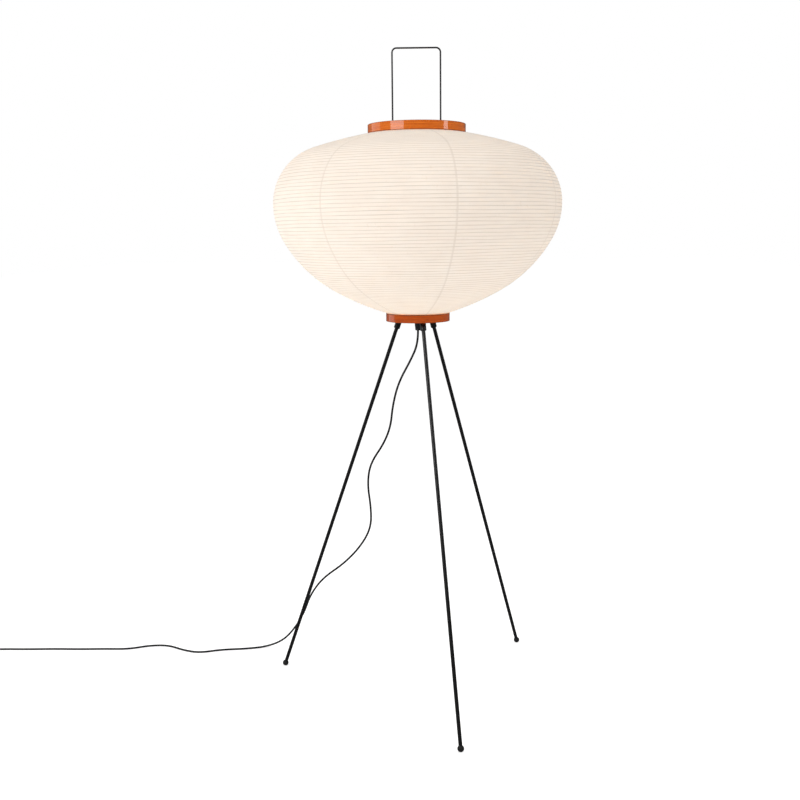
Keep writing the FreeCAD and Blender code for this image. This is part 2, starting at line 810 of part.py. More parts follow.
def switch_block(bottom, top, inset):
    low = Vector(body_start + inset, inlet.y - switch_width / 2 + inset, bottom)
    high = Vector(body_end - inset, inlet.y + switch_width / 2 - inset, top)
    return rounded_block(low, high, switch_corner - inset)


entry_holes = [
    rod(entry_radius, switch_wall, inlet + Vector(-switch_relief_length, 0, 0), Vector(-1, 0, 0)),
    rod(entry_radius, switch_wall, outlet + Vector(switch_relief_length, 0, 0), Vector(1, 0, 0)),
]
switch_base = switch_block(0, switch_entry_height, 0)
switch_base = switch_base.cut(switch_block(switch_wall, switch_entry_height, switch_wall))
switch_base = switch_base.fuse(rod(boss_radius, boss_height, switch_middle + up * switch_wall))
switch_cover = switch_block(switch_entry_height, switch_height, 0)
switch_cover = switch_cover.cut(switch_block(switch_entry_height, ceiling, switch_wall))
top_edges = [e for e in switch_cover.Edges if e.BoundBox.ZMin > switch_height - touching]
switch_cover = switch_cover.makeFillet(switch_wall * 0.9, top_edges)
switch_cover = switch_cover.cut(rod(button_radius + clearance, switch_wall, switch_middle + up * ceiling))
screw_offset = switch_length / 2 - switch_wall - switch_post_inset
switch_screws = []
for sign in side_signs.values():
    post_middle = switch_middle + Vector(sign * screw_offset, switch_post_side, 0)
    base_post = rod(switch_post_radius, switch_entry_height - switch_wall, post_middle + up * switch_wall)
    cover_post = rod(switch_post_radius, ceiling - switch_entry_height,
                     post_middle + up * switch_entry_height)
    screw_hole = rod(switch_screw_radius + thread_clearance, switch_recess + switch_screw_length, post_middle)
    recess = rod(switch_screw_head_radius + clearance, switch_recess, post_middle)
    switch_base = switch_base.fuse(base_post).cut(screw_hole).cut(recess)
    switch_cover = switch_cover.fuse(cover_post).cut(screw_hole)
    head_top = post_middle + up * switch_recess
    screw = rod(switch_screw_radius, switch_screw_length, head_top)
    head = rod(switch_screw_head_radius, switch_screw_head_height, head_top, down)
    switch_screws.append(screw.fuse(head))
for hole in entry_holes:
    switch_base = switch_base.cut(hole)
    switch_cover = switch_cover.cut(hole)
export("switch_base", switch_base.removeSplitter())
export("switch_cover", switch_cover.removeSplitter())
export("switch_screws", *switch_screws)

flange_top = ceiling - clearance
flange_foot = switch_middle + up * (flange_top - button_flange_height)
button = rod(button_radius + button_flange, button_flange_height, flange_foot)
button_stem = rod(button_radius, switch_height + button_rise - flange_foot.z, flange_foot)
button = button.fuse(button_stem).removeSplitter()
rim = [e for e in button.Edges if e.BoundBox.ZMin > switch_height + button_rise - touching]
export("switch_button", button.makeFillet(button_edge_round, rim))

spring_foot = switch_wall + spring_wire_radius + spring_end_gap
spring_rise = flange_foot.z - spring_wire_radius - spring_end_gap - spring_foot


def spring_point(turn):
    height = spring_foot + spring_rise * turn / spring_turns
    return switch_middle + polar(spring_radius, 360 * turn, height)


spring_edges = wound(spring_point, 0, spring_turns, 4)
export("switch_spring", swept(spring_edges, spring_wire_radius, "spring"))
print(f"spring: least gap to itself {least_gap(spring_edges, spring_wire_radius, 0.2):.2f} mm")

contacts = []
for sign in side_signs.values():
    foot = Vector(sign * switch_contact_offset.x - switch_contact_size.x / 2, switch_contact_offset.y,
                  switch_wall)
    contacts.append(Part.makeBox(*switch_contact_size, switch_middle + foot))
export("switch_contacts", *contacts)

tails = []
for way, face in ((Vector(-1, 0, 0), inlet), (Vector(1, 0, 0), outlet)):
    inner_length = switch_relief_length + switch_wall + switch_tail_inside
    tails.append(rod(cord_radius, inner_length, face, way))
    relief = Part.makeCone(relief_end_radius, relief_root_radius, switch_relief_length, face, way)
    spigot_foot = face + way * switch_relief_length
    relief = relief.fuse(rod(relief_spigot_radius, relief_spigot, spigot_foot, way))
    relief = relief.cut(rod(cord_radius + thread_clearance, 2 * switch_relief_length, face, way))
    relief_side = "in" if face is inlet else "out"
    export("switch_relief_" + relief_side, relief.removeSplitter())
export("switch_tails", *tails)


# Coil of the cord that is left over. It winds inwards in the lower layer and outwards in the upper.

coil_low = cord_radius + clearance + tie_thickness
reversal = coil_turns / 2
coil_inner = coil_mid_radius - coil_step * reversal / 2
coil_outer = coil_mid_radius + coil_step * reversal / 2
coil_entry = Vector(outlet.x - tail_length, outlet.y, coil_low)
coil_start = coil_entry + Vector(-2 * cord_radius, 0, 0)
coil_centre = coil_start + Vector(0, -coil_outer, 0)


def coil_point(turn):
    radius = coil_inner + coil_step * abs(turn - reversal)
    climb = min(max(turn - reversal + 0.25, 0) / 0.5, 1)
    height = coil_low + coil_step * climb
    return Vector(coil_centre.x, coil_centre.y, 0) + polar(radius, 90 + 360 * turn, height)


def smooth_way(turn):
    """The way along the coil, square to the ends where the straight stubs leave it."""
    if turn <= 0:
        return Vector(-1, 0, 0)
    if turn >= coil_turns:
        return Vector(1, 0, 0)
    return way_of(coil_point, turn)


coil_stops = [k / 4 for k in range(int(4 * coil_turns) + 1)]
coil_end = coil_point(coil_turns)
plug_entry = coil_end + Vector(plug_lead, 0, 0)
coil_edges = [Part.LineSegment(coil_entry, coil_start).toShape()]
for a, b in zip(coil_stops, coil_stops[1:]):
    coil_edges += biarc(coil_point(a), smooth_way(a), coil_point(b), smooth_way(b))
coil_edges.append(Part.LineSegment(coil_end, plug_entry).toShape())
export("cord_coil", swept(coil_edges, cord_radius, "cord coil"))
print(f"cord coil: least gap to itself {least_gap(coil_edges, cord_radius, 1):.2f} mm")

tail_route = [
    outlet,
    outlet + Vector(-tail_level, 0, 0),
    coil_entry + Vector(tail_flat, 0, 0),
    coil_entry,
]
tail_radii = widest_radii(tail_route)
export("cord_tail", swept(bends(tail_route, tail_radii), cord_radius, "cord tail"))
print("cord tail: radii", [round(radius) for radius in tail_radii])

tie_inner = math.sqrt((coil_inner - cord_radius)**2 - (tie_width / 2)**2) - clearance
tie_outer = coil_outer + cord_radius + clearance
tie_top = coil_low + coil_step + cord_radius + clearance
tie_low = Vector(coil_centre.x - tie_outer - tie_thickness, coil_centre.y - tie_width / 2, 0)
tie_band = Part.makeBox(tie_outer - tie_inner + 2 * tie_thickness, tie_width,
                        tie_top + tie_thickness, tie_low)
tie_hole = Part.makeBox(tie_outer - tie_inner, tie_width, tie_top - tie_thickness,
                        tie_low + Vector(tie_thickness, 0, tie_thickness))
export("coil_tie", tie_band.cut(tie_hole))


# Plug, flat, with two round pins

plug_way = Vector(1, 0, 0)
plug_back = plug_entry.x + plug_relief_length
relief_side_foot = Vector(plug_entry.x, plug_entry.y, plug_height / 2)
plug_relief = Part.makeCone(relief_end_radius, plug_relief_root_radius, plug_relief_length,
                            relief_side_foot, plug_way)
export("plug_relief", plug_relief)
shoulder_half = plug_width / 2 - plug_taper_width
plug_outline = [
    (plug_back, -shoulder_half),
    (plug_back, shoulder_half),
    (plug_back + plug_taper_length, plug_width / 2),
    (plug_back + plug_length, plug_width / 2),
    (plug_back + plug_length, -plug_width / 2),
    (plug_back + plug_taper_length, -plug_width / 2),
]
corners = [Vector(x, plug_entry.y + y, 0) for x, y in plug_outline]
plug_body = Part.Face(Part.makePolygon(corners + corners[:1])).extrude(Vector(0, 0, plug_height))
level_edges = [e for e in plug_body.Edges if e.BoundBox.ZLength < touching]
plug_body = plug_body.makeFillet(plug_round, level_edges)
pins = []
sleeves = []
for sign in side_signs.values():
    pin_foot = Vector(plug_back + plug_length, plug_entry.y + sign * pin_half_spacing, plug_height / 2)
    embedded = rod(pin_radius, pin_root, pin_foot - plug_way * pin_root, plug_way)
    waist = rod(pin_waist_radius, pin_sleeve_length, pin_foot, plug_way)
    tip = rod(pin_radius, pin_length - pin_sleeve_length, pin_foot + plug_way * pin_sleeve_length, plug_way)
    tip_edge = [e for e in tip.Edges if e.BoundBox.XMin > pin_foot.x + pin_length - touching]
    pins.append(embedded.fuse(waist).fuse(tip.makeFillet(pin_tip_round, tip_edge)))
    sleeves.append(tube(pin_sleeve_radius, pin_waist_radius, pin_sleeve_length, pin_foot, plug_way))
    plug_body = plug_body.cut(embedded)
export("plug_body", plug_body)
export("plug_pins", *pins)
export("pin_sleeves", *sleeves)
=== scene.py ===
import json
import math

import bpy
from mathutils import Matrix, Vector


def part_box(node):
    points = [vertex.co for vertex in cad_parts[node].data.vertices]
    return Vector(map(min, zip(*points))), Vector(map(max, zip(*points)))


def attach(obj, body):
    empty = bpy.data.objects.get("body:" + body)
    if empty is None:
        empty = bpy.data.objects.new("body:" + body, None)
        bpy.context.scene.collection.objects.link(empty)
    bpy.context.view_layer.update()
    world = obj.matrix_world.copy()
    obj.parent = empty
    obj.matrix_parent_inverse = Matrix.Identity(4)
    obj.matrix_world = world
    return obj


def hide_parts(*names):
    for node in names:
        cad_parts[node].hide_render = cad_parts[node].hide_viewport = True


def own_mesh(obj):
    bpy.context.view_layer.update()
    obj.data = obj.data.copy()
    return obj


# Paper lantern floor lamp, in metres, +Z up, on the lamp's axis. It is seen from -Y, with +X to the right.

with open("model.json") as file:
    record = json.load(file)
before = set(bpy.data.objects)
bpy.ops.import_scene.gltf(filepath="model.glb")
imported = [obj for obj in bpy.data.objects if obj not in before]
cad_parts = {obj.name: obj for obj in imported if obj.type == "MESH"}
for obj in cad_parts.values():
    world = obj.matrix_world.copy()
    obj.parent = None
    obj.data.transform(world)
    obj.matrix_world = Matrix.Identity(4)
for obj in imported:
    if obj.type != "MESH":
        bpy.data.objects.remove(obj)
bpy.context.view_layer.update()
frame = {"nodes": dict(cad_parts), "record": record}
nodes = frame["nodes"]
studio = bpy.context.scene.collection
print("frame loaded:", len(nodes), "nodes")


# Helpers

def linear(hexColour):  # from an sRGB hex colour to the values that a shader takes
    channels = [int(hexColour[k:k + 2], 16) / 255 for k in (1, 3, 5)]
    return [c / 12.92 if c < 0.04045 else ((c + 0.055) / 1.055) ** 2.4 for c in channels] + [1.0]


def addNode(tree, kind, inputs=None, **settings):
    node = tree.nodes.new(kind)
    for name, value in settings.items():
        setattr(node, name, value)
    for name, value in (inputs or {}).items():
        if isinstance(value, bpy.types.NodeSocket):
            tree.links.new(value, node.inputs[name])
        else:
            node.inputs[name].default_value = value
    return node


def newMaterial(name):
    material = bpy.data.materials.new(name)
    material.use_nodes = True
    material.node_tree.nodes.clear()
    return material, material.node_tree


def perMillimetre(size):  # a texture's scale, for features of that size
    return 1000 / size


def newObject(name, data, body):
    piece = bpy.data.objects.new(name, data)
    studio.objects.link(piece)
    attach(piece, body)
    return piece


def newMesh(name, points, faces, smooth=True):
    mesh = bpy.data.meshes.new(name)
    mesh.from_pydata(points, [], faces)
    mesh.polygons.foreach_set("use_smooth", [smooth] * len(mesh.polygons))
    mesh.update()
    return mesh


def ringFaces(rings, sides, closed=False):  # walls between rings of points, with end caps unless they close up
    faces = []
    for ring in range(rings if closed else rings - 1):
        for side in range(sides):
            low, high = ring * sides, (ring + 1) % rings * sides
            nextSide = (side + 1) % sides
            faces.append([low + side, low + nextSide, high + nextSide, high + side])
    if not closed:
        faces.append(list(reversed(range(sides))))
        faces.append([(rings - 1) * sides + side for side in range(sides)])
    return faces


# Camera, at the photo's viewing point

viewpoint = {
    "place": (0.0, -1.9645, 0.8904),
    "yaw": -0.018,
    "pitch": 0.161,
    "roll": -0.0095,
    "lens": 46.78,
}

cameraData = bpy.data.cameras.new("camera")
cameraData.lens = viewpoint["lens"]
cameraData.sensor_width = 36.0
cameraData.clip_end = 50.0
camera = bpy.data.objects.new("camera", cameraData)
studio.objects.link(camera)
camera.matrix_world = (
    Matrix.Translation(viewpoint["place"])
    @ Matrix.Rotation(-viewpoint["yaw"], 4, "Z")
    @ Matrix.Rotation(math.pi / 2 - viewpoint["pitch"], 4, "X")
    @ Matrix.Rotation(viewpoint["roll"], 4, "Z")
)
bpy.context.scene.camera = camera
print("camera placed")


# Cords

cordSize = {
    "radius": 0.002,
    "runLength": 1.495,
    "coilLength": 1.044,
}

leadRoute = [  # from the gland, down in slack waves, behind the left leg, and along the floor to the switch
    (0.000, 0.000, 0.705),
    (0.000, 0.000, 0.681),
    (-0.013, 0.002, 0.650),
    (-0.038, 0.005, 0.605),
    (-0.050, 0.011, 0.558),
    (-0.054, 0.015, 0.518),
    (-0.068, 0.021, 0.482),
    (-0.096, 0.029, 0.440),
    (-0.102, 0.036, 0.396),
    (-0.096, 0.045, 0.348),
    (-0.097, 0.057, 0.302),
    (-0.120, 0.073, 0.258),
    (-0.156, 0.095, 0.215),
    (-0.203, 0.118, 0.176),
    (-0.232, 0.137, 0.132),
    (-0.247, 0.151, 0.088),
    (-0.270, 0.164, 0.048),
    (-0.296, 0.174, 0.017),
    (-0.333, 0.175, 0.002),
    (-0.378, 0.163, 0.002),
    (-0.428, 0.159, 0.002),
    (-0.474, 0.142, 0.002),
    (-0.512, 0.157, 0.002),
    (-0.550, 0.184, 0.002),
    (-0.592, 0.182, 0.002),
    (-0.632, 0.163, 0.002),
    (-0.684, 0.1645, 0.002),
    (-0.738, 0.163, 0.002),
    (-0.794, 0.165, 0.002),
    (-0.848, 0.1635, 0.002),
    (-0.900, 0.1645, 0.002),
    (-0.930, 0.1635, 0.002),
    (-0.946, 0.164, 0.0045),
    (-0.960, 0.164, 0.006),
    (-0.975, 0.164, 0.006),
]

tailRoute = [  # from the switch to the coil
    (-1.075, 0.164, 0.006),
    (-1.084, 0.164, 0.006),
    (-1.096, 0.164, 0.0029),
    (-1.106, 0.164, 0.0029),
]

coil = {
    "centre": (-1.110, 0.1325),
    "innerRadius": 0.016875,
    "turns": 6.5,
    "step": 0.0045,       # between turns, and between the two layers
    "low": 0.0029,
    "plugLead": 0.020,
    "pointsPerTurn": 24,
}


def coilRoute():  # inwards in the lower layer, up, and outwards in the upper one
    route = []
    reversal = coil["turns"] / 2
    count = int(coil["turns"] * coil["pointsPerTurn"])
    for k in range(count + 1):
        turn = k / coil["pointsPerTurn"]
        radius = coil["innerRadius"] + coil["step"] * abs(turn - reversal)
        climb = min(max(turn - reversal + 0.25, 0) / 0.5, 1)
        angle = math.pi / 2 + 2 * math.pi * turn
        route.append((
            coil["centre"][0] + radius * math.cos(angle),
            coil["centre"][1] + radius * math.sin(angle),
            coil["low"] + coil["step"] * climb,
        ))
    x, y, z = route[-1]
    route.append((x + coil["plugLead"] / 2, y, z))
    route.append((x + coil["plugLead"], y, z))
    return route


def newCord(name, route):
    curve = bpy.data.curves.new(name, "CURVE")
    curve.dimensions = "3D"
    curve.bevel_depth = 1.0  # times each point's radius, which also bounds the curve's box
    curve.bevel_resolution = 5
    curve.resolution_u = 6
    curve.use_fill_caps = True
    spline = curve.splines.new("NURBS")
    spline.points.add(len(route) - 1)
    for point, place in zip(spline.points, route):
        point.co = (*place, 1.0)
        point.radius = cordSize["radius"]
    spline.order_u = 3
    spline.use_endpoint_u = True
    return newObject(name, curve, "stand")


leadCord = newCord("leadCord", leadRoute)
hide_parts("cord_run")
coilCord = newCord("coilCord", tailRoute + coilRoute())
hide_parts("cord_tail", "cord_coil")
print("cords laid")


# Finishes

def powderCoat():  # baked polyester powder on steel: deep black, satin, a fine orange peel in its highlights
    material, tree = newMaterial("powderCoatedSteel")
    place = addNode(tree, "ShaderNodeTexCoord")
    peel = addNode(tree, "ShaderNodeTexNoise", {
        "Vector": place.outputs["Object"],
        "Scale": perMillimetre(0.9),
        "Detail": 2.0,
    })
    handling = addNode(tree, "ShaderNodeTexNoise", {  # cloudy patches left by hands and dust
        "Vector": place.outputs["Object"],
        "Scale": perMillimetre(45),
        "Detail": 4.0,
        "Roughness": 0.6,
    })
    colour = addNode(tree, "ShaderNodeMix", {
        "Factor": handling.outputs["Fac"],
        6: linear("#08080A"),
        7: linear("#111112"),
    }, data_type="RGBA")
    gloss = addNode(tree, "ShaderNodeMapRange", {
        "Value": handling.outputs["Fac"], "From Min": 0.3, "From Max": 0.7, "To Min": 0.24, "To Max": 0.34,
    })
    bump = addNode(tree, "ShaderNodeBump", {
        "Height": peel.outputs["Fac"], "Strength": 0.25, "Distance": 0.00004,
    })
    shader = addNode(tree, "ShaderNodeBsdfPrincipled", {
        "Base Color": colour.outputs[2],
        "Roughness": gloss.outputs["Result"],
        "IOR": 1.5,
        "Normal": bump.outputs["Normal"],
    })
    addNode(tree, "ShaderNodeOutputMaterial", {"Surface": shader.outputs["BSDF"]})
    return material


def lacqueredWire():  # drawn spring wire, dipped in black stoving lacquer: smoother than powder, with runs along it
    material, tree = newMaterial("lacqueredSpringWire")
    place = addNode(tree, "ShaderNodeTexCoord")
    stretch = addNode(tree, "ShaderNodeMapping", {
        "Vector": place.outputs["Object"],
        "Scale": (perMillimetre(0.5), perMillimetre(0.5), perMillimetre(12)),
    })
    runs = addNode(tree, "ShaderNodeTexNoise", {"Vector": stretch.outputs["Vector"], "Scale": 1.0, "Detail": 3.0})
    colour = addNode(tree, "ShaderNodeMix", {
        "Factor": runs.outputs["Fac"],
        6: linear("#0A0A0B"),
        7: linear("#161617"),
    }, data_type="RGBA")
    bump = addNode(tree, "ShaderNodeBump", {
        "Height": runs.outputs["Fac"], "Strength": 0.2, "Distance": 0.00003,
    })
    shader = addNode(tree, "ShaderNodeBsdfPrincipled", {
        "Base Color": colour.outputs[2],
        "Roughness": 0.34,
        "IOR": 1.5,
        "Normal": bump.outputs["Normal"],
    })
    addNode(tree, "ShaderNodeOutputMaterial", {"Surface": shader.outputs["BSDF"]})
    return material


bentwood = {
    "edgeHeights": (0.723, 0.738, 1.067, 1.083),
    "edgeWidth": 0.0012,
    "paintedShadeBelow": 0.8,
}


def lacqueredBentwood():  # steamed, bent cedar under amber lacquer: grain round the hoop, a deep gloss over it
    material, tree = newMaterial("lacqueredBentwood")
    place = addNode(tree, "ShaderNodeTexCoord")
    parts = addNode(tree, "ShaderNodeSeparateXYZ", {"Vector": place.outputs["Object"]})
    flat = addNode(tree, "ShaderNodeCombineXYZ", {"X": parts.outputs["X"], "Y": parts.outputs["Y"]})
    radius = addNode(tree, "ShaderNodeVectorMath", {0: flat.outputs["Vector"]}, operation="LENGTH")
    across = addNode(tree, "ShaderNodeMath", {0: parts.outputs["Z"], 1: radius.outputs["Value"]}, operation="ADD")
    along = addNode(tree, "ShaderNodeCombineXYZ", {
        "X": parts.outputs["X"], "Y": parts.outputs["Y"], "Z": across.outputs["Value"],
    })
    grainPlace = addNode(tree, "ShaderNodeMapping", {  # 1.3 mm between growth rings, 60 mm along them
        "Vector": along.outputs["Vector"],
        "Scale": (perMillimetre(60), perMillimetre(60), perMillimetre(1.3)),
    })
    grain = addNode(tree, "ShaderNodeTexNoise", {
        "Vector": grainPlace.outputs["Vector"], "Scale": 1.0, "Detail": 5.0, "Roughness": 0.62, "Distortion": 0.25,
    })
    porePlace = addNode(tree, "ShaderNodeMapping", {  # short dark pores, 0.35 mm wide
        "Vector": along.outputs["Vector"],
        "Scale": (perMillimetre(9), perMillimetre(9), perMillimetre(0.35)),
    })
    pores = addNode(tree, "ShaderNodeTexNoise", {
        "Vector": porePlace.outputs["Vector"], "Scale": 1.0, "Detail": 2.0,
    })
    rings = addNode(tree, "ShaderNodeMapRange", {
        "Value": grain.outputs["Fac"], "From Min": 0.34, "From Max": 0.68,
    }, interpolation_type="SMOOTHSTEP")
    wood = addNode(tree, "ShaderNodeMix", {
        "Factor": rings.outputs["Result"],
        6: linear("#D8701A"),
        7: linear("#B85208"),
    }, data_type="RGBA")
    poreDepth = addNode(tree, "ShaderNodeMapRange", {
        "Value": pores.outputs["Fac"], "From Min": 0.60, "From Max": 0.72, "To Max": 0.45,
    })
    stained = addNode(tree, "ShaderNodeMix", {
        "Factor": poreDepth.outputs["Result"],
        6: wood.outputs[2],
        7: linear("#7E2C06"),
    }, data_type="RGBA")
    edges = None
    for height in bentwood["edgeHeights"]:  # lacquer pools along the edges and dries darker there
        near = addNode(tree, "ShaderNodeMath", {
            0: parts.outputs["Z"], 1: height, 2: bentwood["edgeWidth"],
        }, operation="COMPARE")
        if edges is not None:
            near = addNode(tree, "ShaderNodeMath", {0: edges, 1: near.outputs["Value"]}, operation="MAXIMUM")
        edges = near.outputs["Value"]
    pooled = addNode(tree, "ShaderNodeMath", {0: edges, 1: 0.55}, operation="MULTIPLY")
    lacquered = addNode(tree, "ShaderNodeMix", {
        "Factor": pooled.outputs["Value"],
        6: stained.outputs[2],
        7: linear("#6E2804"),
    }, data_type="RGBA")
    # painted shade: the hoop below this height, under the lantern, is darkened
    lowerHoop = addNode(tree, "ShaderNodeMath", {
        0: parts.outputs["Z"], 1: bentwood["paintedShadeBelow"],
    }, operation="LESS_THAN")
    paintedHoopShade = addNode(tree, "ShaderNodeMix", {  # painted shade: the lower hoop sits in the shadow of the lantern above it, so its colour is multiplied darker and redder
        "Factor": lowerHoop.outputs["Value"],
        6: lacquered.outputs[2],
        7: linear("#D2B48A"),
    }, data_type="RGBA", blend_type="MULTIPLY")
    bump = addNode(tree, "ShaderNodeBump", {
        "Height": rings.outputs["Result"], "Strength": 0.12, "Distance": 0.0001,
    })
    shader = addNode(tree, "ShaderNodeBsdfPrincipled", {
        "Base Color": paintedHoopShade.outputs[2],
        "Roughness": 0.42,
        "IOR": 1.5,
        "Specular IOR Level": 0.08,
        "Normal": bump.outputs["Normal"],
        "Coat Weight": 1.0,
        "Coat Roughness": 0.06,
        "Coat IOR": 1.52,
    })
    addNode(tree, "ShaderNodeOutputMaterial", {"Surface": shader.outputs["BSDF"]})
    return material


def mulberryPaper():  # handmade paper, matt and cloudy, with long fibres in it; it passes half of what falls on it
    material, tree = newMaterial("mulberryPaper")
    place = addNode(tree, "ShaderNodeTexCoord")
    cloud = addNode(tree, "ShaderNodeTexNoise", {  # pulp that lies thicker here and there
        "Vector": place.outputs["Object"], "Scale": perMillimetre(38), "Detail": 3.0, "Roughness": 0.55,
    })
    strand = addNode(tree, "ShaderNodeTexNoise", {  # fibres are the thin lines where this noise is at its mean
        "Vector": place.outputs["Object"], "Scale": perMillimetre(11), "Detail": 1.0, "Distortion": 1.2,
    })
    fromMean = addNode(tree, "ShaderNodeMath", {0: strand.outputs["Fac"], 1: 0.5}, operation="SUBTRACT")
    distance = addNode(tree, "ShaderNodeMath", {0: fromMean.outputs["Value"]}, operation="ABSOLUTE")
    fibre = addNode(tree, "ShaderNodeMapRange", {
        "Value": distance.outputs["Value"], "From Min": 0.0, "From Max": 0.012, "To Min": 0.35, "To Max": 0.0,
    })
    ribTurn = addNode(tree, "ShaderNodeAttribute", attribute_name="rib")
    brokenPlace = addNode(tree, "ShaderNodeMapping", {  # a turn shows for 60 to 100 mm, then fades a little
        "Vector": place.outputs["Object"],
        "Scale": (perMillimetre(80), perMillimetre(80), perMillimetre(9)),
    })
    broken = addNode(tree, "ShaderNodeTexNoise", {
        "Vector": brokenPlace.outputs["Vector"], "Scale": 1.0, "Detail": 2.0,
    })
    strength = addNode(tree, "ShaderNodeMapRange", {
        "Value": broken.outputs["Fac"], "From Min": 0.32, "From Max": 0.66, "To Min": 0.55,
    })
    ribLine = addNode(tree, "ShaderNodeMapRange", {  # 1.6 mm wide
        "Value": ribTurn.outputs["Fac"], "From Min": 0.70, "From Max": 0.92,
    }, interpolation_type="SMOOTHSTEP")
    ribShadow = addNode(tree, "ShaderNodeMath", {
        0: ribLine.outputs["Result"], 1: strength.outputs["Result"],
    }, operation="MULTIPLY")
    lap = addNode(tree, "ShaderNodeAttribute", attribute_name="lap")
    lapLine = addNode(tree, "ShaderNodeMapRange", {  # two layers of paper, so it is half as dark as a rib
        "Value": lap.outputs["Fac"], "From Min": 0.95, "From Max": 1.0, "To Max": 0.38,
    })
    ribShadowAndLap = addNode(tree, "ShaderNodeMath", {
        0: ribShadow.outputs["Value"], 1: lapLine.outputs["Result"],
    }, operation="MAXIMUM")
    edge = addNode(tree, "ShaderNodeAttribute", attribute_name="edge")
    clouded = addNode(tree, "ShaderNodeMix", {
        "Factor": cloud.outputs["Fac"],
        6: linear("#FCF7F0"),
        7: linear("#F6EEE5"),
    }, data_type="RGBA")
    withFibre = addNode(tree, "ShaderNodeMix", {
        "Factor": fibre.outputs["Result"],
        6: clouded.outputs[2],
        7: linear("#E9DFD0"),
    }, data_type="RGBA")
    sheetColour = addNode(tree, "ShaderNodeMix", {  # the glued edge, with the hoop's colour through it
        "Factor": edge.outputs["Fac"],
        6: withFibre.outputs[2],
        7: linear("#FBDCC0"),
    }, data_type="RGBA")
    # painted rib shadow, kept faint in the light that the sheet gives back
    frontMarks = addNode(tree, "ShaderNodeMath", {0: ribShadowAndLap.outputs["Value"], 1: 0.07}, operation="MULTIPLY")
    frontColour = addNode(tree, "ShaderNodeMix", {
        "Factor": frontMarks.outputs["Value"],
        6: sheetColour.outputs[2],
        7: linear("#B9AA94"),
    }, data_type="RGBA")
    throughMarks = addNode(tree, "ShaderNodeMath", {0: ribShadowAndLap.outputs["Value"], 1: 0.95}, operation="MULTIPLY")
    throughColour = addNode(tree, "ShaderNodeMix", {  # painted rib shadow: light from inside doesn't get past the rib
        "Factor": throughMarks.outputs["Value"],
        6: sheetColour.outputs[2],
        7: linear("#9C8A6E"),
    }, data_type="RGBA")
    felt = addNode(tree, "ShaderNodeTexNoise", {
        "Vector": place.outputs["Object"], "Scale": perMillimetre(1.5), "Detail": 3.0,
    })
    bump = addNode(tree, "ShaderNodeBump", {
        "Height": felt.outputs["Fac"], "Strength": 0.3, "Distance": 0.0001,
    })
    front = addNode(tree, "ShaderNodeBsdfPrincipled", {
        "Base Color": frontColour.outputs[2],
        "Roughness": 0.85,
        "IOR": 1.45,
        "Specular IOR Level": 0.25,
        "Normal": bump.outputs["Normal"],
    })
    through = addNode(tree, "ShaderNodeBsdfTranslucent", {
        "Color": throughColour.outputs[2], "Normal": bump.outputs["Normal"],
    })
    sheet = addNode(tree, "ShaderNodeMixShader", {
        "Fac": 0.42, 1: front.outputs["BSDF"], 2: through.outputs["BSDF"],
    })
    addNode(tree, "ShaderNodeOutputMaterial", {"Surface": sheet.outputs["Shader"]})
    return material


def splitBamboo():  # shaved strip: straw coloured, fibrous along its length
    material, tree = newMaterial("splitBamboo")
    place = addNode(tree, "ShaderNodeTexCoord")
    along = addNode(tree, "ShaderNodeMapping", {
        "Vector": place.outputs["Object"],
        "Scale": (perMillimetre(30), perMillimetre(30), perMillimetre(0.4)),
    })
    fibre = addNode(tree, "ShaderNodeTexNoise", {"Vector": along.outputs["Vector"], "Scale": 1.0, "Detail": 3.0})
    colour = addNode(tree, "ShaderNodeMix", {
        "Factor": fibre.outputs["Fac"],
        6: linear("#D9C08A"),
        7: linear("#A8854C"),
    }, data_type="RGBA")
    shader = addNode(tree, "ShaderNodeBsdfPrincipled", {
        "Base Color": colour.outputs[2], "Roughness": 0.6, "IOR": 1.5,
    })
    addNode(tree, "ShaderNodeOutputMaterial", {"Surface": shader.outputs["BSDF"]})
    return material


def zincPlate():  # bright zinc on pressed steel: cool grey, with faint spangle and a blue tinge
    material, tree = newMaterial("zincPlatedSteel")
    place = addNode(tree, "ShaderNodeTexCoord")
    spangle = addNode(tree, "ShaderNodeTexVoronoi", {
        "Vector": place.outputs["Object"], "Scale": perMillimetre(2.5),
    })
    tint = addNode(tree, "ShaderNodeMapRange", {"Value": spangle.outputs["Color"]})
    colour = addNode(tree, "ShaderNodeMix", {
        "Factor": tint.outputs["Result"],
        6: linear("#B9BCC0"),
        7: linear("#CDCFD0"),
    }, data_type="RGBA")
    gloss = addNode(tree, "ShaderNodeMapRange", {
        "Value": tint.outputs["Result"], "To Min": 0.26, "To Max": 0.38,
    })
    shader = addNode(tree, "ShaderNodeBsdfPrincipled", {
        "Base Color": colour.outputs[2], "Metallic": 1.0, "Roughness": gloss.outputs["Result"],
    })
    addNode(tree, "ShaderNodeOutputMaterial", {"Surface": shader.outputs["BSDF"]})
    return material


def turnedMetal(name, light, dark, roughness):  # turned or pressed, then plated or left bright: fine lines round it
    material, tree = newMaterial(name)
    place = addNode(tree, "ShaderNodeTexCoord")
    lines = addNode(tree, "ShaderNodeMapping", {
        "Vector": place.outputs["Object"],
        "Scale": (perMillimetre(14), perMillimetre(14), perMillimetre(0.25)),
    })
    turning = addNode(tree, "ShaderNodeTexNoise", {"Vector": lines.outputs["Vector"], "Scale": 1.0, "Detail": 3.0})
    colour = addNode(tree, "ShaderNodeMix", {
        "Factor": turning.outputs["Fac"], 6: linear(light), 7: linear(dark),
    }, data_type="RGBA")
    bump = addNode(tree, "ShaderNodeBump", {
        "Height": turning.outputs["Fac"], "Strength": 0.15, "Distance": 0.00002,
    })
    shader = addNode(tree, "ShaderNodeBsdfPrincipled", {
        "Base Color": colour.outputs[2],
        "Metallic": 1.0,
        "Roughness": roughness,
        "Normal": bump.outputs["Normal"],
    })
    addNode(tree, "ShaderNodeOutputMaterial", {"Surface": shader.outputs["BSDF"]})
    return material


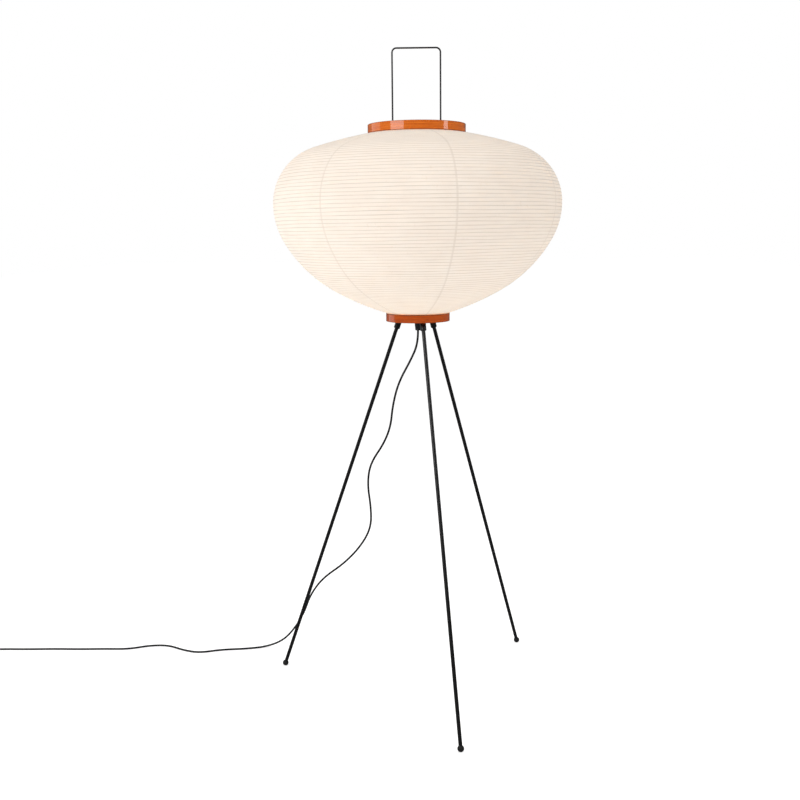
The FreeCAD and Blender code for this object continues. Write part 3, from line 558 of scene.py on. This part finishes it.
def moulded(name, dark, light, grainSize, roughness, ior):  # pressed in a spark-eroded tool: an even pitted grain
    material, tree = newMaterial(name)
    place = addNode(tree, "ShaderNodeTexCoord")
    grain = addNode(tree, "ShaderNodeTexNoise", {
        "Vector": place.outputs["Object"], "Scale": perMillimetre(grainSize), "Detail": 3.0, "Roughness": 0.6,
    })
    scuffs = addNode(tree, "ShaderNodeTexNoise", {
        "Vector": place.outputs["Object"], "Scale": perMillimetre(18), "Detail": 5.0, "Roughness": 0.7,
    })
    colour = addNode(tree, "ShaderNodeMix", {
        "Factor": scuffs.outputs["Fac"], 6: linear(dark), 7: linear(light),
    }, data_type="RGBA")
    gloss = addNode(tree, "ShaderNodeMapRange", {
        "Value": scuffs.outputs["Fac"], "From Min": 0.3, "From Max": 0.7,
        "To Min": roughness - 0.06, "To Max": roughness + 0.06,
    })
    bump = addNode(tree, "ShaderNodeBump", {
        "Height": grain.outputs["Fac"], "Strength": 0.3, "Distance": 0.00005,
    })
    shader = addNode(tree, "ShaderNodeBsdfPrincipled", {
        "Base Color": colour.outputs[2],
        "Roughness": gloss.outputs["Result"],
        "IOR": ior,
        "Normal": bump.outputs["Normal"],
    })
    addNode(tree, "ShaderNodeOutputMaterial", {"Surface": shader.outputs["BSDF"]})
    return material


def wireInsulation():  # PVC round the two conductors, brown on one side and blue on the other
    material, tree = newMaterial("wireInsulation")
    place = addNode(tree, "ShaderNodeTexCoord")
    parts = addNode(tree, "ShaderNodeSeparateXYZ", {"Vector": place.outputs["Object"]})
    side = addNode(tree, "ShaderNodeMath", {0: parts.outputs["X"], 1: 0.0}, operation="GREATER_THAN")
    colour = addNode(tree, "ShaderNodeMix", {
        "Factor": side.outputs["Value"], 6: linear("#5A3320"), 7: linear("#1F4E8C"),
    }, data_type="RGBA")
    shader = addNode(tree, "ShaderNodeBsdfPrincipled", {
        "Base Color": colour.outputs[2], "Roughness": 0.4, "IOR": 1.53,
    })
    addNode(tree, "ShaderNodeOutputMaterial", {"Surface": shader.outputs["BSDF"]})
    return material


def opalGlass():  # a lit frosted globe: it glows all over, a little more in its middle than at its neck
    material, tree = newMaterial("opalGlass")
    place = addNode(tree, "ShaderNodeTexCoord")
    parts = addNode(tree, "ShaderNodeSeparateXYZ", {"Vector": place.outputs["Object"]})
    rise = addNode(tree, "ShaderNodeMapRange", {
        "Value": parts.outputs["Z"], "From Min": 0.80, "From Max": 0.85,
    }, interpolation_type="SMOOTHSTEP")
    glow = addNode(tree, "ShaderNodeMix", {
        "Factor": rise.outputs["Result"], 6: linear("#F8C468"), 7: linear("#FFE08E"),
    }, data_type="RGBA")
    shader = addNode(tree, "ShaderNodeBsdfPrincipled", {
        "Base Color": linear("#F4F1EA"),
        "Roughness": 0.35,
        "IOR": 1.5,
        "Emission Color": glow.outputs[2],
        "Emission Strength": 11.0,
    })
    addNode(tree, "ShaderNodeOutputMaterial", {"Surface": shader.outputs["BSDF"]})
    return material


def stemGlass():  # clear pressed glass with a slight green tinge
    material, tree = newMaterial("stemGlass")
    shader = addNode(tree, "ShaderNodeBsdfPrincipled", {
        "Base Color": linear("#E6F2EC"), "Roughness": 0.05, "IOR": 1.5, "Transmission Weight": 1.0,
    })
    addNode(tree, "ShaderNodeOutputMaterial", {"Surface": shader.outputs["BSDF"]})
    return material


def phosphor():  # yellow coating over the strip of light sources, grainy
    material, tree = newMaterial("phosphorCoating")
    place = addNode(tree, "ShaderNodeTexCoord")
    grain = addNode(tree, "ShaderNodeTexNoise", {
        "Vector": place.outputs["Object"], "Scale": perMillimetre(0.6), "Detail": 2.0,
    })
    colour = addNode(tree, "ShaderNodeMix", {
        "Factor": grain.outputs["Fac"], 6: linear("#FFC65A"), 7: linear("#F2A93A"),
    }, data_type="RGBA")
    shader = addNode(tree, "ShaderNodeBsdfPrincipled", {
        "Base Color": colour.outputs[2],
        "Roughness": 0.7,
        "Emission Color": linear("#FFC98A"),
        "Emission Strength": 4.0,
    })
    addNode(tree, "ShaderNodeOutputMaterial", {"Surface": shader.outputs["BSDF"]})
    return material


finishes = {
    "black_metal": powderCoat(),
    "black_wire": lacqueredWire(),
    "zinc_steel": zincPlate(),
    "lacquered_wood": lacqueredBentwood(),
    "paper": mulberryPaper(),
    "bamboo": splitBamboo(),
    "black_plastic": moulded("mouldedAbs", "#121213", "#1C1C1D", 0.5, 0.45, 1.54),
    "black_rubber": moulded("softRubber", "#0E0E0E", "#181817", 0.8, 0.7, 1.52),
    "cord_sheath": moulded("extrudedPvcSheath", "#0D0D0E", "#161617", 0.3, 0.42, 1.53),
    "white_insulator": moulded("glazedSteatite", "#DEDAD0", "#E9E6DE", 0.8, 0.25, 1.6),
    "brass": turnedMetal("turnedBrass", "#E3C07A", "#C39A52", 0.28),
    "nickel_brass": turnedMetal("nickelPlatedBrass", "#D8D3CB", "#BDB7AE", 0.22),
    "copper_wire": wireInsulation(),
    "opal_glass": opalGlass(),
    "filament": phosphor(),
    "stem_glass": stemGlass(),
}
for cord in (leadCord, coilCord):
    cord.data.materials.append(finishes["cord_sheath"])
for subpart in frame["record"]["subparts"]:
    node = nodes[subpart["node"]]
    node.data.materials.clear()
    node.data.materials.append(finishes[subpart["material_slot"]])
print("finishes made:", len(finishes))


# Shade. Its outline is a chain of arcs from the lower hoop to the upper one, and one rib winds up it.

shade = {
    "widest": (0.2665, 0.940),          # radius and height
    "lowerSeat": (0.0575, 0.738),
    "upperSeat": (0.0875, 1.067),
    "shoulder": (0.4092, 0.7938),       # shares of the way in and up, from the widest line to the upper seat
    "belly": (0.0827, 0.3285),          # and in and down, to the lower one
    "flank": (0.5377, 0.7976),
    "ribTurns": 86,
    "bareTurns": 1,                     # of paper without a rib, at each end
    "collapsed": 39 / 329,              # share of its height that is left when the upper hoop is down
}

paper = {
    "gores": 7,
    "firstSeam": math.radians(-75.8),
    "lapWidth": 0.003,
    "lapRise": 0.0002,
    "columnsPerGore": 20,
    "rowsPerTurn": 4,
    "sag": 0.0004,                      # between two turns of the rib
    "thickness": 0.00025,
    "stray": 0.0007,                   # how far a hand-wound turn strays up or down
    "unevenness": 0.0007,
}

rib = {
    "radius": 0.0008,
    "sides": 6,
    "segmentsPerTurn": 72,
}


def arcsThrough(start, stops):  # arcs that run smoothly on from where the outline is upright
    arcs = []
    angle = 0.0
    for stop in stops:
        way = (math.cos(angle), math.sin(angle))
        chord = (stop[0] - start[0], stop[1] - start[1])
        radius = -(chord[0] ** 2 + chord[1] ** 2) / (2 * (chord[0] * way[0] + chord[1] * way[1]))
        centre = (start[0] - radius * way[0], start[1] - radius * way[1])
        end = math.atan2((stop[1] - centre[1]) / radius, (stop[0] - centre[0]) / radius)
        arcs.append((centre, radius, angle, end))
        start, angle = stop, end
    return arcs


def between(first, last, shares):
    return tuple(a + share * (b - a) for a, b, share in zip(first, last, shares))


upperStops = [between(shade["widest"], shade["upperSeat"], shade["shoulder"]), shade["upperSeat"]]
lowerStops = [between(shade["widest"], shade["lowerSeat"], shade[name]) for name in ("belly", "flank")]
lowerArcs = arcsThrough(shade["widest"], lowerStops + [shade["lowerSeat"]])
outline = [(centre, radius, end, start) for centre, radius, start, end in reversed(lowerArcs)]
outline += arcsThrough(shade["widest"], upperStops)
outlineLength = sum(abs(radius * (end - start)) for centre, radius, start, end in outline)
ribPitch = outlineLength / shade["ribTurns"]


def shadePoint(distance, azimuth, depth):  # on the shade, that far up its outline and that far inside it
    for centre, radius, start, end in outline:
        length = abs(radius * (end - start))
        if distance <= length or end == outline[-1][3]:
            break
        distance -= length
    angle = start + min(distance / length, 1.0) * (end - start)
    reach = centre[0] + (radius - depth) * math.cos(angle)
    height = centre[1] + (radius - depth) * math.sin(angle)
    return Vector((reach * math.cos(azimuth), reach * math.sin(azimuth), height))


def distanceUp(turn, azimuth):  # of the rib, or of the paper between two turns of it
    ends = min(turn, shade["ribTurns"] - turn) / 3
    fade = max(0.0, min(1.0, ends))
    stray = 0.5 * math.sin(5 * azimuth + 0.9 * turn) + 0.3 * math.sin(11 * azimuth - 1.7 * turn)
    stray += 0.2 * math.sin(23 * azimuth + 2.6 * turn)
    return turn * ribPitch + paper["stray"] * fade * stray


def unevenDepth(turn, azimuth):
    ends = min(turn, shade["ribTurns"] - turn) / 12
    fade = max(0.0, min(1.0, ends))
    wave = math.sin(3 * azimuth + 0.11 * turn) + 0.6 * math.sin(7 * azimuth - 0.17 * turn + 1.0)
    return paper["unevenness"] * fade * (0.5 + 0.5 * wave / 1.6)


def columnAzimuth(column, radius):
    gore, place = divmod(column, paper["columnsPerGore"] + 2)
    goreAngle = 2 * math.pi / paper["gores"]
    seam = paper["firstSeam"] + gore * goreAngle
    half = paper["lapWidth"] / 2 / radius
    if place == 0:
        return seam - half
    return seam + half + (place - 1) / (paper["columnsPerGore"] + 1) * (goreAngle - 2 * half)


def buildPaper():  # rows of the mesh follow the rib, so that its ridges wind up the shade as the real ones do
    columns = paper["gores"] * (paper["columnsPerGore"] + 2)
    rows = paper["rowsPerTurn"]
    points, ribShare, lapShare, edgeShare, known = [], [], [], [], {}

    def pointIndex(column, row):
        if column == columns:
            column, row = 0, row + rows
        azimuth = columnAzimuth(column, 0.15)
        turn = min(max(row / rows + azimuth / (2 * math.pi), 0.0), float(shade["ribTurns"]))
        key = (column, round(turn, 6))
        if key not in known:
            along = (row % rows) / rows
            bare = min(turn, shade["ribTurns"] - turn)
            sag = paper["sag"] * 4 * along * (1 - along) * max(0.0, min(1.0, bare))
            onLap = column % (paper["columnsPerGore"] + 2) < 2
            distance = distanceUp(turn, azimuth)
            radius = shadePoint(distance, 0.0, 0.0).x
            azimuth = columnAzimuth(column, radius)
            depth = sag + unevenDepth(turn, azimuth) - paper["lapRise"] * onLap
            known[key] = len(points)
            points.append(shadePoint(distance, azimuth, depth))
            ribShare.append(abs(2 * along - 1) if bare > 0.9 * shade["bareTurns"] else 0.0)
            lapShare.append(float(onLap))
            edgeShare.append(max(0.0, min(1.0, 1.6 - bare)))
        return known[key]

    faces = []
    for column in range(columns):
        for row in range(-rows, rows * (shade["ribTurns"] + 1)):
            corners = [
                pointIndex(column, row), pointIndex(column + 1, row),
                pointIndex(column + 1, row + 1), pointIndex(column, row + 1),
            ]
            face = [c for k, c in enumerate(corners) if c != corners[k - 1]]
            if len(set(face)) >= 3:
                faces.append(face)
    mesh = newMesh("paperShade", points, faces)
    for name, values in (("rib", ribShare), ("lap", lapShare), ("edge", edgeShare)):
        mesh.attributes.new(name, "FLOAT", "POINT").data.foreach_set("value", values)
    return mesh


def buildRib():
    points = []
    first, last = shade["bareTurns"], shade["ribTurns"] - shade["bareTurns"]
    count = (last - first) * rib["segmentsPerTurn"]
    depth = paper["thickness"] + rib["radius"]
    for k in range(count + 1):
        turn = first + (last - first) * k / count
        azimuth = 2 * math.pi * turn
        here = distanceUp(turn, azimuth)
        hollow = unevenDepth(turn, azimuth)
        middle = shadePoint(here, azimuth, depth + hollow)
        outward = shadePoint(here, azimuth, hollow) - middle
        way = Vector((-math.sin(azimuth), math.cos(azimuth), 0.0))
        outward.normalize()
        across = way.cross(outward)
        for side in range(rib["sides"]):
            angle = 2 * math.pi * side / rib["sides"]
            points.append(middle + rib["radius"] * (math.cos(angle) * outward + math.sin(angle) * across))
    return newMesh("bambooRib", points, ringFaces(count + 1, rib["sides"]))


def solidSheet(piece):  # gives the paper its thickness, inwards, and keeps the result as its mesh
    wall = piece.modifiers.new("thickness", "SOLIDIFY")
    wall.thickness = paper["thickness"]
    wall.offset = -1.0
    shown = piece.evaluated_get(bpy.context.evaluated_depsgraph_get())
    mesh = bpy.data.meshes.new_from_object(shown)
    piece.modifiers.remove(wall)
    piece.data = mesh


paperShade = newObject("paperShade", buildPaper(), "stand")
paperShade.data.materials.append(finishes["paper"])
solidSheet(paperShade)
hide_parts("shade_paper")
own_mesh(paperShade)
print("paper shade:", len(paperShade.data.vertices), "points")

bambooRib = newObject("bambooRib", buildRib(), "stand")
bambooRib.data.materials.append(finishes["bamboo"])
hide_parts("shade_ribs")
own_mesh(bambooRib)
print("bamboo rib:", len(bambooRib.data.vertices), "points")


# Small pieces on the cords: the button's spring, the coil's strap and three grooved strain reliefs

pressSpring = {
    "wire": 0.0004,
    "turns": 5,
    "stepsPerTurn": 32,
    "sides": 10,
    "travel": 0.003,                    # of the button on it
}

strap = {
    "thickness": 0.0006,
    "corner": 0.0024,                   # hugs the outer turns of the coil
    "cornerSteps": 6,
    "tailLength": 0.011,                # the end that is pressed down on the band, and is cut round
    "tailSteps": 8,
    "straightShare": 0.8,
}

relief = {
    "cordEnd": 0.0032,
    "switchLength": 0.020,
    "spigot": 0.0034,
    "plugLength": 0.032,
    "switchRoot": 0.0044,
    "plugRoot": 0.0056,
    "ribPitch": 0.0032,
    "ribProfile": ((0.02, False), (0.46, False), (0.54, True), (0.90, True), (0.98, False)),
    "grooveDepth": 0.0007,
    "bore": 0.00205,
    "sides": 40,
}


def middleOf(low, high):
    return (low + high) / 2


def buildSpring():
    low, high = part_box("switch_spring")
    middle = middleOf(low, high)
    wire = pressSpring["wire"]
    radius = (high.x - low.x) / 2 - wire
    rise = high.z - low.z - 2 * wire
    count = pressSpring["turns"] * pressSpring["stepsPerTurn"]
    points = []
    for k in range(count + 1):
        angle = 2 * math.pi * k / pressSpring["stepsPerTurn"]
        outward = Vector((math.cos(angle), math.sin(angle), 0.0))
        here = Vector((middle.x, middle.y, low.z + wire + rise * k / count)) + radius * outward
        for side in range(pressSpring["sides"]):
            turn = 2 * math.pi * side / pressSpring["sides"]
            points.append(here + wire * (math.cos(turn) * outward + math.sin(turn) * Vector((0, 0, 1))))
    return newMesh("pressSpring", points, ringFaces(count + 1, pressSpring["sides"]))


def buildStrap():  # a band round the coil, square to its turns, with its tail on top
    low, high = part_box("coil_tie")
    thick, corner, steps = strap["thickness"], strap["corner"], strap["cornerSteps"]
    corners = [
        (high.x - corner, high.z - corner, 0.0), (low.x + corner, high.z - corner, 90.0),
        (low.x + corner, low.z + corner, 180.0), (high.x - corner, low.z + corner, 270.0),
    ]
    points = []
    for x, z, start in corners:
        for step in range(steps + 1):
            angle = math.radians(start + 90.0 * step / steps)
            for reach, y in (
                (corner - thick, low.y), (corner, low.y), (corner, high.y), (corner - thick, high.y),
            ):
                points.append((x + reach * math.cos(angle), y, z + reach * math.sin(angle)))
    faces = ringFaces(4 * (steps + 1), 4, closed=True)
    middle = middleOf(low, high)
    base = len(points)
    for k in range(strap["tailSteps"] + 1):
        share = k / strap["tailSteps"]
        x = middle.x + strap["tailLength"] * (share - 0.5)
        rounding = max(0.0, share - strap["straightShare"]) / (1.02 - strap["straightShare"])
        half = (high.y - low.y) / 2 * math.sqrt(1 - rounding ** 2)
        for y, z in ((-half, high.z), (half, high.z), (half, high.z + thick), (-half, high.z + thick)):
            points.append((x, middle.y + y, z))
    faces += [[base + index for index in face] for face in ringFaces(strap["tailSteps"] + 1, 4)]
    return newMesh("coilStrap", points, faces, smooth=False)


def buildRelief(name, node, way, length, root, bore):  # a soft tapered sleeve, thinned by grooves so that it bends
    low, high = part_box(node)
    middle = middleOf(low, high)
    start = low.x if way > 0 else high.x
    profile = [(0.0, bore)]
    ribs = int(length / relief["ribPitch"])
    for k in range(ribs):
        for share, inGroove in relief["ribProfile"]:
            along = (k + share) * relief["ribPitch"]
            radius = relief["cordEnd"] + (root - relief["cordEnd"]) * along / length
            inset = relief["grooveDepth"] if inGroove and k < ribs - 1 else 0.0
            profile.append((along, radius - inset))
    profile.append((length, root))
    total = high.x - low.x
    if total > length + 0.0005:  # the spigot that the housing grips
        spigot = relief["spigot"]
        profile += [(length, spigot), (total, spigot), (total, bore)]
    else:
        profile.append((length, bore))
    points = []
    sides = relief["sides"]
    for along, radius in profile:
        for side in range(sides):
            angle = 2 * math.pi * side / sides * way
            y, z = middle.y + radius * math.cos(angle), middle.z + radius * math.sin(angle)
            points.append((start + way * along, y, z))
    return newMesh(name, points, ringFaces(len(profile), sides, closed=True))


switchSpring = newObject("pressSpring", buildSpring(), "stand")
switchSpring.data.materials.append(finishes["zinc_steel"])
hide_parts("switch_spring")
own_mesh(switchSpring)
coilStrap = newObject("coilStrap", buildStrap(), "stand")
coilStrap.data.materials.append(finishes["black_rubber"])
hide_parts("coil_tie")
for name, node, way, length, root, bore in (
    ("switchReliefIn", "switch_relief_in", -1, relief["switchLength"], relief["switchRoot"], relief["bore"]),
    ("switchReliefOut", "switch_relief_out", 1, relief["switchLength"], relief["switchRoot"], relief["bore"]),
    ("plugRelief", "plug_relief", 1, relief["plugLength"], relief["plugRoot"], relief["bore"] / 2),
):
    sleeve = newObject(name, buildRelief(name, node, way, length, root, bore), "stand")
    sleeve.data.materials.append(finishes["black_rubber"])
    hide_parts(node)
print("spring, strap and strain reliefs made")


# Floor, light and world

studioLight = {
    "keyPower": 29.0,
    "keySize": (1.5, 1.6),
    "keyPlace": (-1.73, -1.67, 1.85),
    "stripPower": 9.0,
    "stripSize": (0.5, 1.3),
    "stripPlace": (2.25, -0.82, 1.75),
    "sidePower": 10.0,
    "sideSize": (1.6, 2.2),
    "sidePlace": (-2.3, 0.9, 1.0),
    "topPower": 9.0,
    "topSize": (1.4, 1.4),
    "topPlace": (0.4, -0.5, 2.9),
    "skyStrength": 0.74,
    "skyInGloss": 0.12,      # a dark studio, so that black stays black and the softboxes stand out
    "floorGlow": 0.36,
}

floorMesh = newMesh("floor", [(-9, -9, 0), (9, -9, 0), (9, 30, 0), (-9, 30, 0)], [(0, 1, 2, 3)], smooth=False)
floor = bpy.data.objects.new("floor", floorMesh)
studio.objects.link(floor)
floor.visible_glossy = False
paleFloor, floorTree = newMaterial("paleStudioFloor")
floorShader = addNode(floorTree, "ShaderNodeBsdfPrincipled", {
    "Base Color": linear("#F6F6F6"),
    "Roughness": 0.9,
    "Specular IOR Level": 0.1,
    "Emission Color": linear("#FFFFFF"),
    "Emission Strength": studioLight["floorGlow"],
})
addNode(floorTree, "ShaderNodeOutputMaterial", {"Surface": floorShader.outputs["BSDF"]})
floorMesh.materials.append(paleFloor)


def softbox(name, place, size, power, aim):
    light = bpy.data.lights.new(name, "AREA")
    light.shape = "RECTANGLE"
    light.size, light.size_y = size
    light.energy = power
    box = bpy.data.objects.new(name, light)
    studio.objects.link(box)
    box.location = place
    box.rotation_euler = (Vector(aim) - Vector(place)).to_track_quat("-Z", "Y").to_euler()


shadeMiddle = (0.0, 0.0, 1.0)
softbox("keyLight", studioLight["keyPlace"], studioLight["keySize"], studioLight["keyPower"], shadeMiddle)
softbox("stripLight", studioLight["stripPlace"], studioLight["stripSize"], studioLight["stripPower"], shadeMiddle)
softbox("sidePanel", studioLight["sidePlace"], studioLight["sideSize"], studioLight["sidePower"], shadeMiddle)
softbox("topPanel", studioLight["topPlace"], studioLight["topSize"], studioLight["topPower"], shadeMiddle)

world = bpy.data.worlds.new("studioWorld")
bpy.context.scene.world = world
world.use_nodes = True
worldTree = world.node_tree
worldTree.nodes.clear()
ray = addNode(worldTree, "ShaderNodeLightPath")
unseen = addNode(worldTree, "ShaderNodeMapRange", {
    "Value": ray.outputs["Is Glossy Ray"],
    "To Min": studioLight["skyStrength"],
    "To Max": studioLight["skyInGloss"],
})
strength = addNode(worldTree, "ShaderNodeMix", {
    "Factor": ray.outputs["Is Camera Ray"], 2: unseen.outputs["Result"], 3: 1.0,
}, data_type="FLOAT")
background = addNode(worldTree, "ShaderNodeBackground", {
    "Color": linear("#FFFFFF"), "Strength": strength.outputs[0],
})
addNode(worldTree, "ShaderNodeOutputWorld", {"Surface": background.outputs["Background"]})
bpy.context.scene.view_settings.view_transform = "Standard"
print("studio lit")
